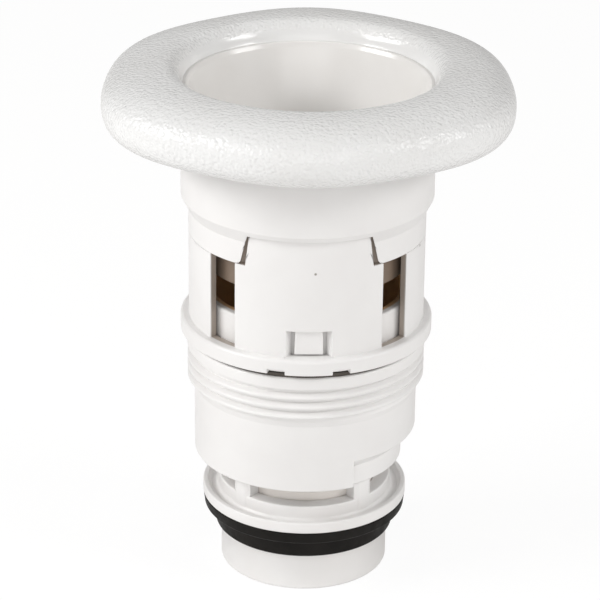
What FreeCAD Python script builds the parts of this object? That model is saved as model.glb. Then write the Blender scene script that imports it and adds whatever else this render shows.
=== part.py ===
import FreeCAD, Part
import Sketcher
import math
import os

from types import SimpleNamespace

V = FreeCAD.Vector

# Driving sizes in millimetres and degrees. Heights are lengths stacked up from the spigot's foot,
# and radii are steps from the barrel's, so whatever stands on or in a piece follows it.
sizes = {
    # Tail cage: spigot, dish flange, legs and the collar that plugs into the body
    "spigot_step": 7.9,
    "spigot_wall": 3.6,
    "spigot_len": 22.2,
    "spigot_edge": 0.8,
    "dish_over": 5.7,
    "dish_h": 3.6,
    "dish_rim": 1.6,
    "channel_depth": 1.5,
    "sill_over": 0.8,
    "sill_h": 6.6,
    "leg_count": 4,
    "leg_wide": 7.6,
    "leg_over": 1.0,
    "leg_edge": 2.0,
    "leg_edge_deep": 1.0,
    "cage_open": 6.2,
    "plug_step": 4.6,
    "plug_wall": 4.7,
    "plug_h": 11.6,
    "plug_edge": 1.8,
    "lower_turn": -1.7,
    # Lip seal round the spigot
    "seal_over": 1.6,
    "seal_lip_over": 5.6,
    "seal_lip_h": 3.5,
    "seal_h": 10.0,
    "seal_seat": 0.6,
    "seal_edge": 0.8,
    "seal_neck": 1.4,
    # Venturi tube inside the spigot
    "tube_gap": 6.3,
    "venturi_wall": 2.0,
    "venturi_len": 42.0,
    "venturi_drop": 16.0,
    "disc_thick": 2.2,
    "disc_hole_r": 2.5,
    "disc_hole_count": 6,
    "bore_step": 1.4,
    "snap_ring_h": 1.6,
    "snap_ring_wide": 1.6,
    "tube_throat": 1.0,
    "tube_taper": 6.0,
    "neck_h": 3.0,
    "cup_slope": 1.4,
    "cup_play": 0.4,
    "cup_wall": 1.6,
    "cup_over": 2.2,
    # Threaded body: shoulder, skirt, thread and plain band
    "body_step": 2.5,
    "skirt_up": 2.6,
    "shoulder_up": 4.0,
    "shoulder_rise": 7.6,
    "shoulder_bow": 1.5,
    "skirt_wall": 2.8,
    "skirt_angle": 180.0,
    "skirt_turn": -65.0,
    "runout_up": 24.2,
    "thread_step": 0.5,
    "thread_depth": 1.5,
    "thread_pitch": 3.1,
    "thread_turns": 3,
    "band_h": 4.4,
    "ledge_thick": 2.0,
    "ledge_wide": 3.8,
    # Valve sleeve with its ports
    "sleeve_step": 4.5,
    "sleeve_wall": 2.2,
    "sleeve_short": 2.9,
    "port_up": 10.5,
    "port_h": 10.0,
    "port_angle": 60.0,
    "bead_up": 2.7,
    "bead_wide": 0.7,
    "bead_thick": 1.4,
    # Flow barrel
    "slip_gap": 1.7,
    "slip_thick": 1.2,
    "slip_inset": 0.7,
    "ring_step": 2.5,
    "ring_h": 4.9,
    "ring_edge": 0.9,
    "foot_land_h": 3.2,
    "foot_slope": 1.6,
    "barrel_r": 35.5,
    "barrel_wall": 2.3,
    "window_angle": 47.2,
    "window_wide": 10.2,
    "latch_wide": 13.9,
    "latch_deep_wide": 10.6,
    "latch_flat": 0.3,
    "latch_slope": 0.5,
    "latch_h": 8.2,
    "finger_wide": 8.8,
    "finger_thick": 1.3,
    "finger_root": 1.4,
    "finger_slope": 0.7,
    "hook_up": 0.7,
    "ring_notch_at": 14.8,
    "ring_notch_angle": 8.1,
    "ring_notch_deep": 1.5,
    "tab_step": 1.7,
    "tab_up": 28.6,
    "key_h": 8.4,
    "key_half_top": 17.1,
    "key_half_low": 18.9,
    "key_gap": 1.6,
    "key_tuck": 1.2,
    "recess_tuck": 1.0,
    "barrel_top": 5.2,
    "face_turn": 1.5,
    # Collar under the face
    "collar_step": 2.3,
    "collar_low_step": 0.1,
    "collar_cone_h": 4.6,
    "collar_cone_over": 0.6,
    "collar_top_h": 24.5,
    "collar_fit": 0.15,
    "shelf_in": 0.4,
    "shelf_h": 2.4,
    "shelf_slope": 3.6,
    # Face ring
    "face_r": 61.4,
    "face_lobe": 0.9,
    "face_lobe_three": 0.9,
    "face_crest": 0.63,
    "face_rim_low": 1.9,
    "face_thick": 19.2,
    "face_wall": 3.0,
    "mouth_step": 1.4,
    "mouth_lip": 0.3,
    "hub_wall": 2.6,
    # Throat liner
    "liner_wall": 2.6,
    "lip_step": 1.2,
    "cone_draft": 11.3,
    "liner_foot_h": 2.2,
    "liner_spigot_h": 3.0,
    "liner_lip": 0.4,
    "liner_lip_h": 1.2,
    "lip_band_h": 5.6,
    # Seat carrier, swivel ring, ball and nozzle tip
    "carrier_wall": 2.6,
    "carrier_flange_h": 2.4,
    "carrier_depth": 12.0,
    "carrier_floor": 2.0,
    "carrier_edge": 1.0,
    "seat_wide": 6.1,
    "rib_up": 1.4,
    "rib_h": 2.6,
    "rib_slope": 1.6,
    "rib_deep": 3.2,
    "washer_thick": 0.8,
    "ball_r": 15.0,
    "ball_cap": 11.0,
    "pin_r": 2.0,
    "pin_reach": 18.6,
    "pin_play": 0.4,
    "swivel_h": 10.4,
    "swivel_lip": 2.4,
    "swivel_play": 0.1,
    "tip_bore_r": 6.2,
    "tip_r": 8.6,
    "tip_reach": 17.5,
    "tip_lip": 1.4,
    "tip_lip_h": 1.6,
    "tip_edge": 0.6,
    "retainer_h": 1.8,
    "retainer_wide": 4.0,
    "retainer_slope": 0.8,
    "cord_r": 0.6,
    "groove_up": 3.4,
    # Clearances, edge breaks, and how far a feature runs into the one that carries it
    "fit": 0.05,
    "run": 0.35,
    "slip": 0.3,
    "edge": 0.5,
    "sink": 0.5,
}


class Size:
    """A number of the sheet, or a sum made from them, with the formula that binds it."""

    def __init__(self, value, formula=None):
        self.value = value
        self.formula = formula or repr(value)

    def made(self, other, sign, value):
        return Size(value, "(" + self.formula + " " + sign + " " + other.formula + ")")

    def __add__(self, other):
        other = as_size(other)
        return self.made(other, "+", self.value + other.value)

    def __sub__(self, other):
        other = as_size(other)
        return self.made(other, "-", self.value - other.value)

    def __mul__(self, other):
        other = as_size(other)
        return self.made(other, "*", self.value * other.value)

    def __truediv__(self, other):
        other = as_size(other)
        return self.made(other, "/", self.value / other.value)

    def __neg__(self):
        return Size(-self.value, "(-1 * " + self.formula + ")")


def as_size(number):
    return number if isinstance(number, Size) else Size(number)


doc = FreeCAD.newDocument("tub_jet")
sheet = doc.addObject("Spreadsheet::Sheet", "Dims")
for row, (name, number) in enumerate(sizes.items(), start=1):
    sheet.set("A" + str(row), name)
    sheet.set("B" + str(row), str(number))
    sheet.setAlias("B" + str(row), name)
doc.recompute()
d = SimpleNamespace(**{name: Size(number, "Dims." + name) for name, number in sizes.items()})


# Helpers: bodies, sketches and the features made from them
def bind(thing, path, number):
    thing.setExpression(path, as_size(number).formula)


def new_body(label, turn=None):
    body = doc.addObject("PartDesign::Body", label)
    body.Label = label
    if turn is not None:
        body.Placement = FreeCAD.Placement(V(0, 0, 0), FreeCAD.Rotation(V(0, 0, 1), turn.value))
        bind(body, "Placement.Rotation.Angle", turn)
    return body


def plane_sketch(body, role, name, turn=None, lift=None, spin=0):
    """A sketch on one of the body's planes, turned about the upright axis or lifted and spun on it."""
    sketch = body.newObject("Sketcher::SketchObject", name)
    plane = [part for part in body.Origin.OriginFeatures if part.Role == role][0]
    sketch.AttachmentSupport = [(plane, "")]
    sketch.MapMode = "FlatFace"
    if turn is not None:
        sketch.AttachmentOffset = FreeCAD.Placement(V(0, 0, 0), FreeCAD.Rotation(V(0, 1, 0), turn.value))
        bind(sketch, "AttachmentOffset.Rotation.Angle", turn)
    if lift is not None:
        sketch.AttachmentOffset = FreeCAD.Placement(V(0, 0, lift.value), FreeCAD.Rotation(V(0, 0, 1), spin))
        bind(sketch, "AttachmentOffset.Base.z", lift)
    return sketch


def outline(sketch, points):
    """A closed outline through the points. A third number bows the edge that ends there."""
    points = [tuple(as_size(number) for number in point) for point in points]
    corners = [V(point[0].value, point[1].value, 0) for point in points]
    ends = []
    for index, point in enumerate(points):
        start, end = corners[index - 1], corners[index]
        if len(point) == 3:
            side = V(start.y - end.y, end.x - start.x, 0).normalize()
            middle = (start + end) * 0.5 + side * point[2].value
            edge = sketch.addGeometry(Part.Arc(start, middle, end), False)
        else:
            edge = sketch.addGeometry(Part.LineSegment(start, end), False)
        ends.append((edge, 2 if sketch.getPoint(edge, 2).isEqual(end, 1e-6) else 1))
    for index, (edge, end) in enumerate(ends):
        after, after_end = ends[(index + 1) % len(ends)]
        sketch.addConstraint(Sketcher.Constraint("Coincident", edge, end, after, 3 - after_end))
        for kind, number in zip(("DistanceX", "DistanceY"), points[index]):
            place = sketch.addConstraint(Sketcher.Constraint(kind, edge, end, number.value))
            bind(sketch, "Constraints[" + str(place) + "]", number)
        if len(points[index]) == 3:
            dx, dy = (points[index][axis] - points[index - 1][axis] for axis in (0, 1))
            bow = points[index][2]
            if bow.value < 0:
                bow = -bow
            radius = ((dx * dx + dy * dy) / 4 + bow * bow) / (bow * 2)
            place = sketch.addConstraint(Sketcher.Constraint("Radius", edge, radius.value))
            bind(sketch, "Constraints[" + str(place) + "]", radius)
    return sketch


def rectangle(left, low, right, high):
    return [(left, low), (right, low), (right, high), (left, high)]


def revolve(body, name, points, kind="Revolution", angle=None, turn=None):
    """Turns a profile of (radius, height) points about the upright axis."""
    sketch = outline(plane_sketch(body, "XZ_Plane", name + "_profile", turn=turn), points)
    feature = body.newObject("PartDesign::" + kind, name)
    feature.Profile = sketch
    feature.ReferenceAxis = (sketch, ["V_Axis"])
    feature.Angle = 360
    if angle is not None:
        feature.Midplane = True
        bind(feature, "Angle", angle)
    body.Tip = feature
    return feature


def pocket_out(body, name, points, turn=None, through=None):
    """Cuts an upright outline from the axis outwards towards the front, or both ways."""
    sketch = outline(plane_sketch(body, "XZ_Plane", name + "_outline", turn=turn), points)
    feature = body.newObject("PartDesign::Pocket", name)
    feature.Profile = sketch
    feature.Type = "ThroughAll"
    if through:
        feature.SideType = "Symmetric"
    else:
        feature.Reversed = True
    body.Tip = feature
    return feature


def repeat(body, name, feature, count, axis="V_Axis"):
    """Repeats a feature round the upright axis, which is its sketch's own V or N axis."""
    pattern = body.newObject("PartDesign::PolarPattern", name)
    pattern.Originals = [feature]
    pattern.Axis = (feature.Profile[0], [axis])
    bind(pattern, "Occurrences", count)
    body.Tip = pattern
    return pattern


def cord_ring(label, mean_r, height, cord_r):
    """A plain O-ring lying flat at a height."""
    ring = doc.addObject("Part::Torus", label)
    ring.Label = label
    bind(ring, "Radius1", mean_r)
    bind(ring, "Radius2", cord_r)
    bind(ring, "Placement.Base.z", height)
    return ring


# Bow of a quarter round of radius one, for the outlines
quarter = 1 - math.sqrt(0.5)

# Heights worked out from the stack
dish_z = d.spigot_len
sill_z = dish_z + d.sill_h
cage_top_z = sill_z + d.cage_open
plug_top_z = cage_top_z + d.plug_h
skirt_z = cage_top_z + d.skirt_up
shoulder_z = cage_top_z + d.shoulder_up
ledge_z = plug_top_z + d.fit
sleeve_z = ledge_z + d.ledge_thick
runout_z = cage_top_z + d.runout_up
thread_z = runout_z + d.thread_pitch
band_z = thread_z + d.thread_pitch * d.thread_turns
body_top_z = band_z + d.band_h
ring_z = body_top_z + d.slip_gap
ring_top_z = ring_z + d.ring_h
tab_z = ring_top_z + d.tab_up
key_top_z = tab_z + d.key_h
barrel_top_z = key_top_z + d.barrel_top
rib_z = tab_z + d.rib_up
rib_top_z = rib_z + d.rib_h
hub_z = key_top_z + d.collar_top_h
rim_z = hub_z - d.face_rim_low
crest_z = rim_z + d.face_thick
lip_z = crest_z - d.lip_band_h

# Radii worked out from the barrel's
recess_r = d.barrel_r - d.tab_step
barrel_in_r = d.barrel_r - d.barrel_wall
upper_in_r = recess_r - d.barrel_wall
sleeve_r = d.barrel_r - d.sleeve_step
ring_r = d.barrel_r + d.ring_step
collar_r = d.barrel_r + d.collar_step
mouth_r = d.barrel_r + d.mouth_step
hub_in_r = mouth_r + d.slip - d.collar_low_step
liner_top_r = mouth_r - d.lip_step
liner_low_r = liner_top_r - d.cone_draft
thread_r = d.barrel_r + d.thread_step
body_r = thread_r - d.body_step
plug_r = body_r - d.plug_step
spigot_r = body_r - d.spigot_step
spigot_in_r = spigot_r - d.spigot_wall

# Tail cage: spigot and dish turned first, then the legs, then the collar that they carry
cage = new_body("tail_cage", d.lower_turn)
disc_low_z = dish_z - d.disc_thick
channel_z = dish_z + d.dish_h - d.channel_depth
seal_low_z = dish_z - d.seal_h
seal_seat_r = spigot_r - d.seal_seat
dish_r = spigot_r + d.dish_over
sill_r = spigot_r + d.sill_over
revolve(cage, "spigot", [
    (spigot_in_r - d.bore_step, 0),
    (spigot_r - d.spigot_edge, 0),
    (spigot_r, d.spigot_edge),
    (spigot_r, seal_low_z - d.fit),
    (seal_seat_r, seal_low_z - d.fit),
    (seal_seat_r, dish_z),
    (dish_r - d.edge, dish_z),
    (dish_r, dish_z + d.edge),
    (dish_r, dish_z + d.dish_h),
    (dish_r - d.dish_rim, dish_z + d.dish_h),
    (dish_r - d.dish_rim - d.edge, channel_z),
    (sill_r + d.edge, channel_z),
    (sill_r, sill_z - d.edge),
    (sill_r - d.edge, sill_z),
    (spigot_in_r, sill_z),
    (spigot_in_r, disc_low_z),
    (spigot_in_r - d.bore_step, disc_low_z),
])
leg_r = spigot_r + d.leg_over
half = d.leg_wide / 2
flat = half - d.leg_edge
edge_y = -(leg_r - d.leg_edge_deep)
plan = plane_sketch(cage, "XY_Plane", "leg_plan", lift=channel_z - d.sink, spin=45)
outline(plan, [(-half, -spigot_in_r), (half, -spigot_in_r), (half, edge_y), (flat, -leg_r), (-flat, -leg_r),
               (-half, edge_y)])
leg = cage.newObject("PartDesign::Pad", "leg")
leg.Profile = plan
bind(leg, "Length", cage_top_z - channel_z + d.sink + d.sink)
cage.Tip = leg
repeat(cage, "legs", leg, d.leg_count, axis="N_Axis")
plug_in_r = plug_r - d.plug_wall
revolve(cage, "plug", [
    (plug_in_r, cage_top_z),
    (plug_r - d.plug_edge, cage_top_z),
    (plug_r, cage_top_z + d.plug_edge, d.plug_edge * -quarter),
    (plug_r, plug_top_z),
    (plug_in_r, plug_top_z),
])
groove_r = plug_r - d.cord_r * 2
groove_z = plug_top_z - d.groove_up
revolve(cage, "ring_groove", rectangle(groove_r, groove_z - d.cord_r, plug_r + d.sink, groove_z + d.cord_r),
        kind="Groove")

# Lip seal: rubber sleeve on the spigot with a wide lip under the dish
seal = new_body("lip_seal")
seal_in_r = seal_seat_r + d.fit
seal_r = spigot_r + d.seal_over
seal_lip_r = spigot_r + d.seal_lip_over
seal_lip_z = dish_z - d.seal_lip_h
revolve(seal, "seal", [
    (seal_in_r, seal_low_z),
    (seal_r - d.seal_edge, seal_low_z),
    (seal_r, seal_low_z + d.seal_edge),
    (seal_r, seal_lip_z - d.seal_edge),
    (seal_r + d.seal_neck, seal_lip_z),
    (seal_lip_r - d.seal_edge, seal_lip_z),
    (seal_lip_r, seal_lip_z + d.seal_edge),
    (seal_lip_r - d.slip, dish_z - d.fit),
    (seal_in_r, dish_z - d.fit),
])

# Venturi tube: it stands on the step in the spigot's bore by a drilled disc, under a flared cup
venturi = new_body("venturi_tube", d.lower_turn)
venturi_low_z = disc_low_z - d.venturi_drop
venturi_top_z = venturi_low_z + d.venturi_len
disc_r = spigot_in_r - d.fit
neck_r = disc_r - d.snap_ring_wide - d.slip
neck_in_r = neck_r - d.cup_wall
venturi_r = neck_in_r - d.tube_gap
venturi_in_r = venturi_r - d.venturi_wall
cup_r = spigot_in_r - d.cup_play
cup_z = dish_z + d.neck_h + d.cup_slope
cup_top_z = sill_z + d.cup_over
revolve(venturi, "tube", [
    (venturi_in_r + d.edge, venturi_low_z),
    (venturi_r - d.edge, venturi_low_z),
    (venturi_r, venturi_low_z + d.edge),
    (venturi_r, disc_low_z),
    (disc_r, disc_low_z),
    (disc_r, dish_z),
    (neck_r, dish_z),
    (neck_r, cup_z - d.cup_slope),
    (cup_r, cup_z),
    (cup_r, cup_top_z - d.edge),
    (cup_r - d.edge, cup_top_z),
    (cup_r - d.cup_wall, cup_top_z),
    (cup_r - d.cup_wall, cup_z),
    (neck_in_r, cup_z - d.cup_slope),
    (neck_in_r, dish_z),
    (venturi_r, dish_z),
    (venturi_r, venturi_top_z - d.edge),
    (venturi_r - d.edge, venturi_top_z),
    (venturi_in_r - d.tube_throat, venturi_top_z),
    (venturi_in_r - d.tube_throat, venturi_low_z + d.tube_taper * 2),
    (venturi_in_r, venturi_low_z + d.tube_taper),
])
hole_at_r = (venturi_r + neck_in_r) / 2
holes = plane_sketch(venturi, "XY_Plane", "disc_hole_outline", lift=disc_low_z)
hole = holes.addGeometry(Part.Circle(V(hole_at_r.value, 0, 0), V(0, 0, 1), d.disc_hole_r.value), False)
for kind, number in (("DistanceX", hole_at_r), ("DistanceY", Size(0))):
    spot = holes.addConstraint(Sketcher.Constraint(kind, hole, 3, number.value))
    bind(holes, "Constraints[" + str(spot) + "]", number)
spot = holes.addConstraint(Sketcher.Constraint("Radius", hole, d.disc_hole_r.value))
bind(holes, "Constraints[" + str(spot) + "]", d.disc_hole_r)
drill = venturi.newObject("PartDesign::Pocket", "disc_hole")
drill.Profile = holes
drill.Reversed = True
bind(drill, "Length", d.disc_thick)
venturi.Tip = drill
repeat(venturi, "disc_holes", drill, d.disc_hole_count, axis="N_Axis")

# Snap ring that holds the disc down in the spigot
snap_ring = new_body("venturi_ring", d.lower_turn)
revolve(snap_ring, "ring", rectangle(disc_r - d.snap_ring_wide, dish_z + d.fit, disc_r,
                                      dish_z + d.snap_ring_h),
        angle=Size(330))

# Threaded body: shoulder, wall, thread run-out, ridges and plain band, over a stepped bore
body = new_body("threaded_body", d.lower_turn)
plug_bore_r = plug_r + d.fit
sleeve_bore_r = sleeve_r + d.fit
root_r = thread_r - d.thread_depth
points = [
    (plug_bore_r, shoulder_z),
    (plug_bore_r + d.edge, shoulder_z),
    (body_r, shoulder_z + d.shoulder_rise, -d.shoulder_bow),
    (body_r, runout_z),
    (root_r, runout_z + d.thread_pitch * 0.6),
]
ridge = d.thread_pitch * 0.32
for turn in range(int(d.thread_turns.value)):
    low_z = thread_z + d.thread_pitch * turn
    points += [
        (root_r, low_z - d.thread_pitch * 0.1),
        (thread_r, low_z + ridge),
        (thread_r, low_z + ridge + ridge),
        (root_r, low_z + d.thread_pitch * 0.86),
    ]
points += [
    (root_r, band_z - d.fit),
    (thread_r, band_z + d.edge),
    (thread_r, body_top_z - d.edge),
    (thread_r - d.edge, body_top_z),
    (sleeve_bore_r, body_top_z),
    (sleeve_bore_r, sleeve_z),
    (sleeve_bore_r - d.ledge_wide, sleeve_z),
    (sleeve_bore_r - d.ledge_wide, ledge_z),
    (plug_bore_r, ledge_z),
]
revolve(body, "wall", points)
skirt_top_z = shoulder_z + d.shoulder_rise + d.sink
revolve(body, "skirt", rectangle(body_r - d.skirt_wall, skirt_z, body_r, skirt_top_z),
        angle=d.skirt_angle, turn=d.skirt_turn)

# Valve sleeve: it stands on the body's ledge, and its four ports lie behind the barrel's windows
sleeve = new_body("valve_sleeve", d.lower_turn)
sleeve_in_r = sleeve_r - d.sleeve_wall
sleeve_top_z = rib_z - d.sleeve_short
port_z = ring_top_z + d.port_up
revolve(sleeve, "wall", [
    (sleeve_in_r, sleeve_z),
    (sleeve_r, sleeve_z),
    (sleeve_r, sleeve_top_z - d.edge),
    (sleeve_r - d.edge, sleeve_top_z),
    (sleeve_in_r, sleeve_top_z),
])
ports = revolve(sleeve, "port", rectangle(sleeve_in_r - d.sink, port_z, sleeve_r + d.sink,
                                          port_z + d.port_h),
                kind="Groove", angle=d.port_angle, turn=Size(45))
repeat(sleeve, "ports", ports, Size(4))
foot_groove_z = sleeve_z + d.groove_up
revolve(sleeve, "ring_groove", rectangle(sleeve_r - d.cord_r * 2, foot_groove_z - d.cord_r,
                                         sleeve_r + d.sink, foot_groove_z + d.cord_r), kind="Groove")

# Bead ring on the sleeve, over which the barrel's latch fingers hook
bead = new_body("axle_bead_ring", d.lower_turn)
bead_in_r = sleeve_r + d.fit
bead_z = ring_top_z + d.bead_up
revolve(bead, "ring", rectangle(bead_in_r, bead_z, bead_in_r + d.bead_wide, bead_z + d.bead_thick),
        angle=Size(352), turn=Size(90))

# Slip ring in the gap between the body and the barrel's foot
slip_ring = new_body("slip_ring")
revolve(slip_ring, "ring", rectangle(sleeve_r + d.run, body_top_z, thread_r - d.slip_inset,
                                     body_top_z + d.slip_thick))

# Flow barrel: turned wall and foot ring first, then windows, latch windows, fingers and notches
barrel = new_body("flow_barrel", d.face_turn)
land_r = sleeve_r + d.run
rib_r = upper_in_r - d.rib_deep
recess_z = tab_z - d.recess_tuck
revolve(barrel, "wall", [
    (land_r, ring_z),
    (ring_r - d.edge, ring_z),
    (ring_r, ring_z + d.edge),
    (ring_r, ring_top_z - d.ring_edge),
    (ring_r - d.ring_edge, ring_top_z, d.ring_edge * -quarter),
    (d.barrel_r, ring_top_z),
    (d.barrel_r, recess_z),
    (recess_r, recess_z),
    (recess_r, barrel_top_z),
    (upper_in_r, barrel_top_z),
    (upper_in_r, rib_top_z),
    (rib_r, rib_top_z),
    (rib_r, rib_z),
    (barrel_in_r, rib_z - d.rib_slope),
    (barrel_in_r, ring_z + d.foot_land_h + d.foot_slope),
    (land_r, ring_z + d.foot_land_h),
])
for side, angle in (("left", -d.window_angle), ("right", d.window_angle)):
    half = d.window_wide / 2
    cut = pocket_out(barrel, side + "_window",
                     rectangle(-half, ring_top_z, half, rib_z), turn=angle)
    repeat(barrel, side + "_windows", cut, Size(2))
for side, angle in (("left", -d.ring_notch_at), ("right", d.ring_notch_at)):
    notch = revolve(barrel, side + "_notch", rectangle(d.barrel_r, ring_z - d.sink, ring_r + d.sink,
                                                       ring_z + d.ring_notch_deep),
                    kind="Groove", angle=d.ring_notch_angle, turn=angle)
    repeat(barrel, side + "_notches", notch, Size(2))
latch_top_z = ring_top_z + d.latch_h
latch = plane_sketch(barrel, "XY_Plane", "latch_outline", lift=ring_top_z)
half, deep = d.latch_wide / 2, d.latch_deep_wide / 2
flank_y, slope_y, inner_y = -(d.barrel_r - d.latch_flat), -(barrel_in_r - d.latch_slope), -land_r
outline(latch, [(-half, -ring_r), (half, -ring_r), (half, flank_y), (deep, slope_y), (deep, inner_y),
                (-deep, inner_y), (-deep, slope_y), (-half, flank_y)])
latch_cut = barrel.newObject("PartDesign::Pocket", "latch_window")
latch_cut.Profile = latch
latch_cut.Reversed = True
bind(latch_cut, "Length", d.latch_h)
barrel.Tip = latch_cut
repeat(barrel, "latch_windows", latch_cut, Size(2), axis="N_Axis")
finger = plane_sketch(barrel, "YZ_Plane", "finger_profile")
finger_low_r = barrel_in_r + d.fit
finger_top_r = finger_low_r + d.finger_slope
finger_top_z = latch_top_z + d.finger_root
hook_r = land_r + d.fit
hook_z = ring_top_z + d.hook_up
hook_top_z = bead_z - d.slip
outline(finger, [(-finger_top_r, finger_top_z), (-finger_low_r, hook_z), (-hook_r, hook_z),
                 (-hook_r, hook_top_z), (-(finger_low_r - d.finger_thick), hook_top_z),
                 (-(finger_top_r - d.finger_thick), finger_top_z)])
finger_pad = barrel.newObject("PartDesign::Pad", "finger")
finger_pad.Profile = finger
finger_pad.SideType = "Symmetric"
bind(finger_pad, "Length", d.finger_wide)
barrel.Tip = finger_pad
repeat(barrel, "fingers", finger_pad, Size(2))

# Keys of the barrel's full radius that fill the collar's notches, front and back
key_slope = (d.key_half_low - d.key_half_top) / d.key_h
key_z = tab_z - d.key_tuck
keys = doc.addObject("Sketcher::SketchObject", "key_outline")
keys.Placement = FreeCAD.Placement(V(0, 0, 0), FreeCAD.Rotation(V(1, 0, 0), 90))
outline(keys, [(-d.key_half_low, key_z), (d.key_half_low, key_z),
               (d.key_half_top, key_top_z - d.slip), (-d.key_half_top, key_top_z - d.slip)])
key_prism = doc.addObject("Part::Extrusion", "key_prism")
key_prism.Base = keys
key_prism.DirMode = "Custom"
key_prism.Dir = V(0, 1, 0)
key_prism.Solid = True
key_prism.Symmetric = True
bind(key_prism, "LengthFwd", d.barrel_r * 3)
key_tube_out = doc.addObject("Part::Cylinder", "key_tube_out")
key_tube_in = doc.addObject("Part::Cylinder", "key_tube_in")
for tube, wide in ((key_tube_out, d.barrel_r), (key_tube_in, recess_r - d.sink)):
    bind(tube, "Radius", wide)
    bind(tube, "Height", key_top_z)
key_tube = doc.addObject("Part::Cut", "key_tube")
key_tube.Base = key_tube_out
key_tube.Tool = key_tube_in
key_ring = doc.addObject("Part::Common", "key_ring")
key_ring.Base = key_tube
key_ring.Tool = key_prism
keys_turned = doc.addObject("Part::Fuse", "barrel_with_keys")
doc.recompute()
key_ring.Placement = FreeCAD.Placement(V(0, 0, 0), FreeCAD.Rotation(V(0, 0, 1), d.face_turn.value))
bind(key_ring, "Placement.Rotation.Angle", d.face_turn)
keys_turned.Base = barrel
keys_turned.Tool = key_ring
barrel.Label = "barrel_blank"
keys_turned.Label = "flow_barrel"

# Collar: chamfered sleeve over the barrel's top, cut into a crown by the two key notches
collar = new_body("snap_collar", d.face_turn)
collar_in_r = recess_r + d.collar_fit
collar_low_r = d.barrel_r + d.collar_low_step
shelf_r = upper_in_r + d.shelf_in
shelf_z = barrel_top_z + d.collar_fit
shelf_top_z = shelf_z + d.shelf_h
collar_top_z = hub_z + d.liner_spigot_h
revolve(collar, "wall", [
    (collar_in_r, tab_z),
    (collar_low_r, tab_z),
    (collar_low_r, key_top_z - d.collar_cone_h),
    (collar_r, key_top_z + d.collar_cone_over),
    (collar_r, hub_z),
    (hub_in_r - d.fit, hub_z),
    (hub_in_r - d.fit, collar_top_z),
    (liner_top_r, collar_top_z),
    (liner_top_r, shelf_top_z + d.shelf_slope),
    (shelf_r, shelf_top_z),
    (shelf_r, shelf_z),
    (collar_in_r, shelf_z),
])
notch_low = d.key_half_low + d.key_gap
notch_top = d.key_half_top + d.key_gap
notch_foot = notch_low + key_slope * d.recess_tuck
pocket_out(collar, "notch", [(-notch_foot, recess_z), (notch_foot, recess_z),
                             (notch_top, key_top_z), (-notch_top, key_top_z)], through=True)


# Face ring: skinned through level outlines with three broad and three small lobes
face_r, wall_r, face_low = d.face_r.value, mouth_r.value, rim_z.value
face_high = d.face_thick.value
face_wall = d.face_wall.value


def lobed_outline(inwards, upwards, share, inset=0):
    """A level outline of the face, by shares of the way in to the mouth and up to the crest. The last
    share tells how strongly the lobes show there."""
    radius = face_r - inset - (face_r - inset - wall_r) * inwards
    spots = []
    for step in range(36):
        angle = math.radians(step * 10)
        lobe = d.face_lobe.value * math.cos(6 * angle) - d.face_lobe_three.value * math.cos(3 * angle)
        reach = radius + share * lobe
        spots.append(V(reach * math.sin(angle), -reach * math.cos(angle), face_low + face_high * upwards))
    curve = Part.BSplineCurve()
    curve.interpolate(spots, PeriodicFlag=True)
    return Part.Wire([curve.toShape()])


def face_cylinder(radius, low, high):
    return Part.makeCylinder(radius.value, (high - low).value, V(0, 0, low.value))


# Each level: share of the way in, share of the way up, strength of the lobes
crest = d.face_crest.value
outer = Part.makeLoft([
    lobed_outline(0.34, 0.03, 1),
    lobed_outline(0.23, 0.08, 1),
    lobed_outline(0.12, 0.16, 1),
    lobed_outline(0.04, 0.25, 1),
    lobed_outline(0, 0.40, 1),
    lobed_outline(0.015, 0.57, 1),
    lobed_outline(0.125, 0.76, 1),
    lobed_outline(crest * 0.58, 0.94, 0.8),
    lobed_outline(crest, 1, 0.5),
    lobed_outline(crest * 1.3, 0.94, 0.25),
    lobed_outline(0.935, 0.83, 0),
    lobed_outline(1, 1 - d.lip_band_h.value / face_high, 0),
], True, False)
ceiling = 1 - face_wall / face_high
hollow = Part.makeLoft([
    lobed_outline(0.39, -0.05, 1, face_wall),
    lobed_outline(0.36, 0.05, 1, face_wall),
    lobed_outline(0.14, 0.18, 1, face_wall),
    lobed_outline(0.02, 0.36, 1, face_wall),
    lobed_outline(0.19, 0.64, 1, face_wall),
    lobed_outline(0.46, ceiling - 0.08, 0.6, face_wall),
    lobed_outline(0.63, ceiling - 0.04, 0.2, face_wall),
], True, False)
hub_r = hub_in_r + d.hub_wall
below_z = rim_z - d.face_wall
hub = face_cylinder(hub_r, below_z, crest_z)
bore = face_cylinder(hub_in_r, hub_z, lip_z - d.slip)
below = face_cylinder(hub_r + d.sink, below_z, hub_z)
mouth = face_cylinder(mouth_r - d.mouth_lip, below_z, crest_z)
face_ring = doc.addObject("Part::Feature", "face_ring")
face_ring.Shape = outer.cut(hollow.cut(hub)).cut(bore).cut(below).cut(mouth)
face_ring.Label = "face_ring"

# Throat liner: cone from the lip down to its foot flange over the carrier
liner = new_body("throat_liner", d.face_turn)
liner_foot_z = rib_top_z + d.carrier_flange_h + d.cord_r * 2 + d.fit * 3
liner_cone_z = liner_foot_z + d.liner_foot_h
liner_top_z = lip_z - d.slip
liner_ring_r = hub_in_r - d.fit
liner_ring_z = collar_top_z + d.fit
revolve(liner, "cone", [
    (liner_low_r, liner_foot_z),
    (upper_in_r - d.fit, liner_foot_z),
    (upper_in_r - d.fit, liner_cone_z),
    (liner_low_r + d.liner_wall, liner_cone_z),
    (liner_top_r - d.fit, liner_ring_z),
    (liner_ring_r, liner_ring_z),
    (liner_ring_r, liner_top_z),
    (liner_top_r + d.liner_lip, liner_top_z),
    (liner_top_r - d.liner_lip, liner_top_z - d.liner_lip_h),
    (liner_low_r, liner_cone_z),
])

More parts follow.
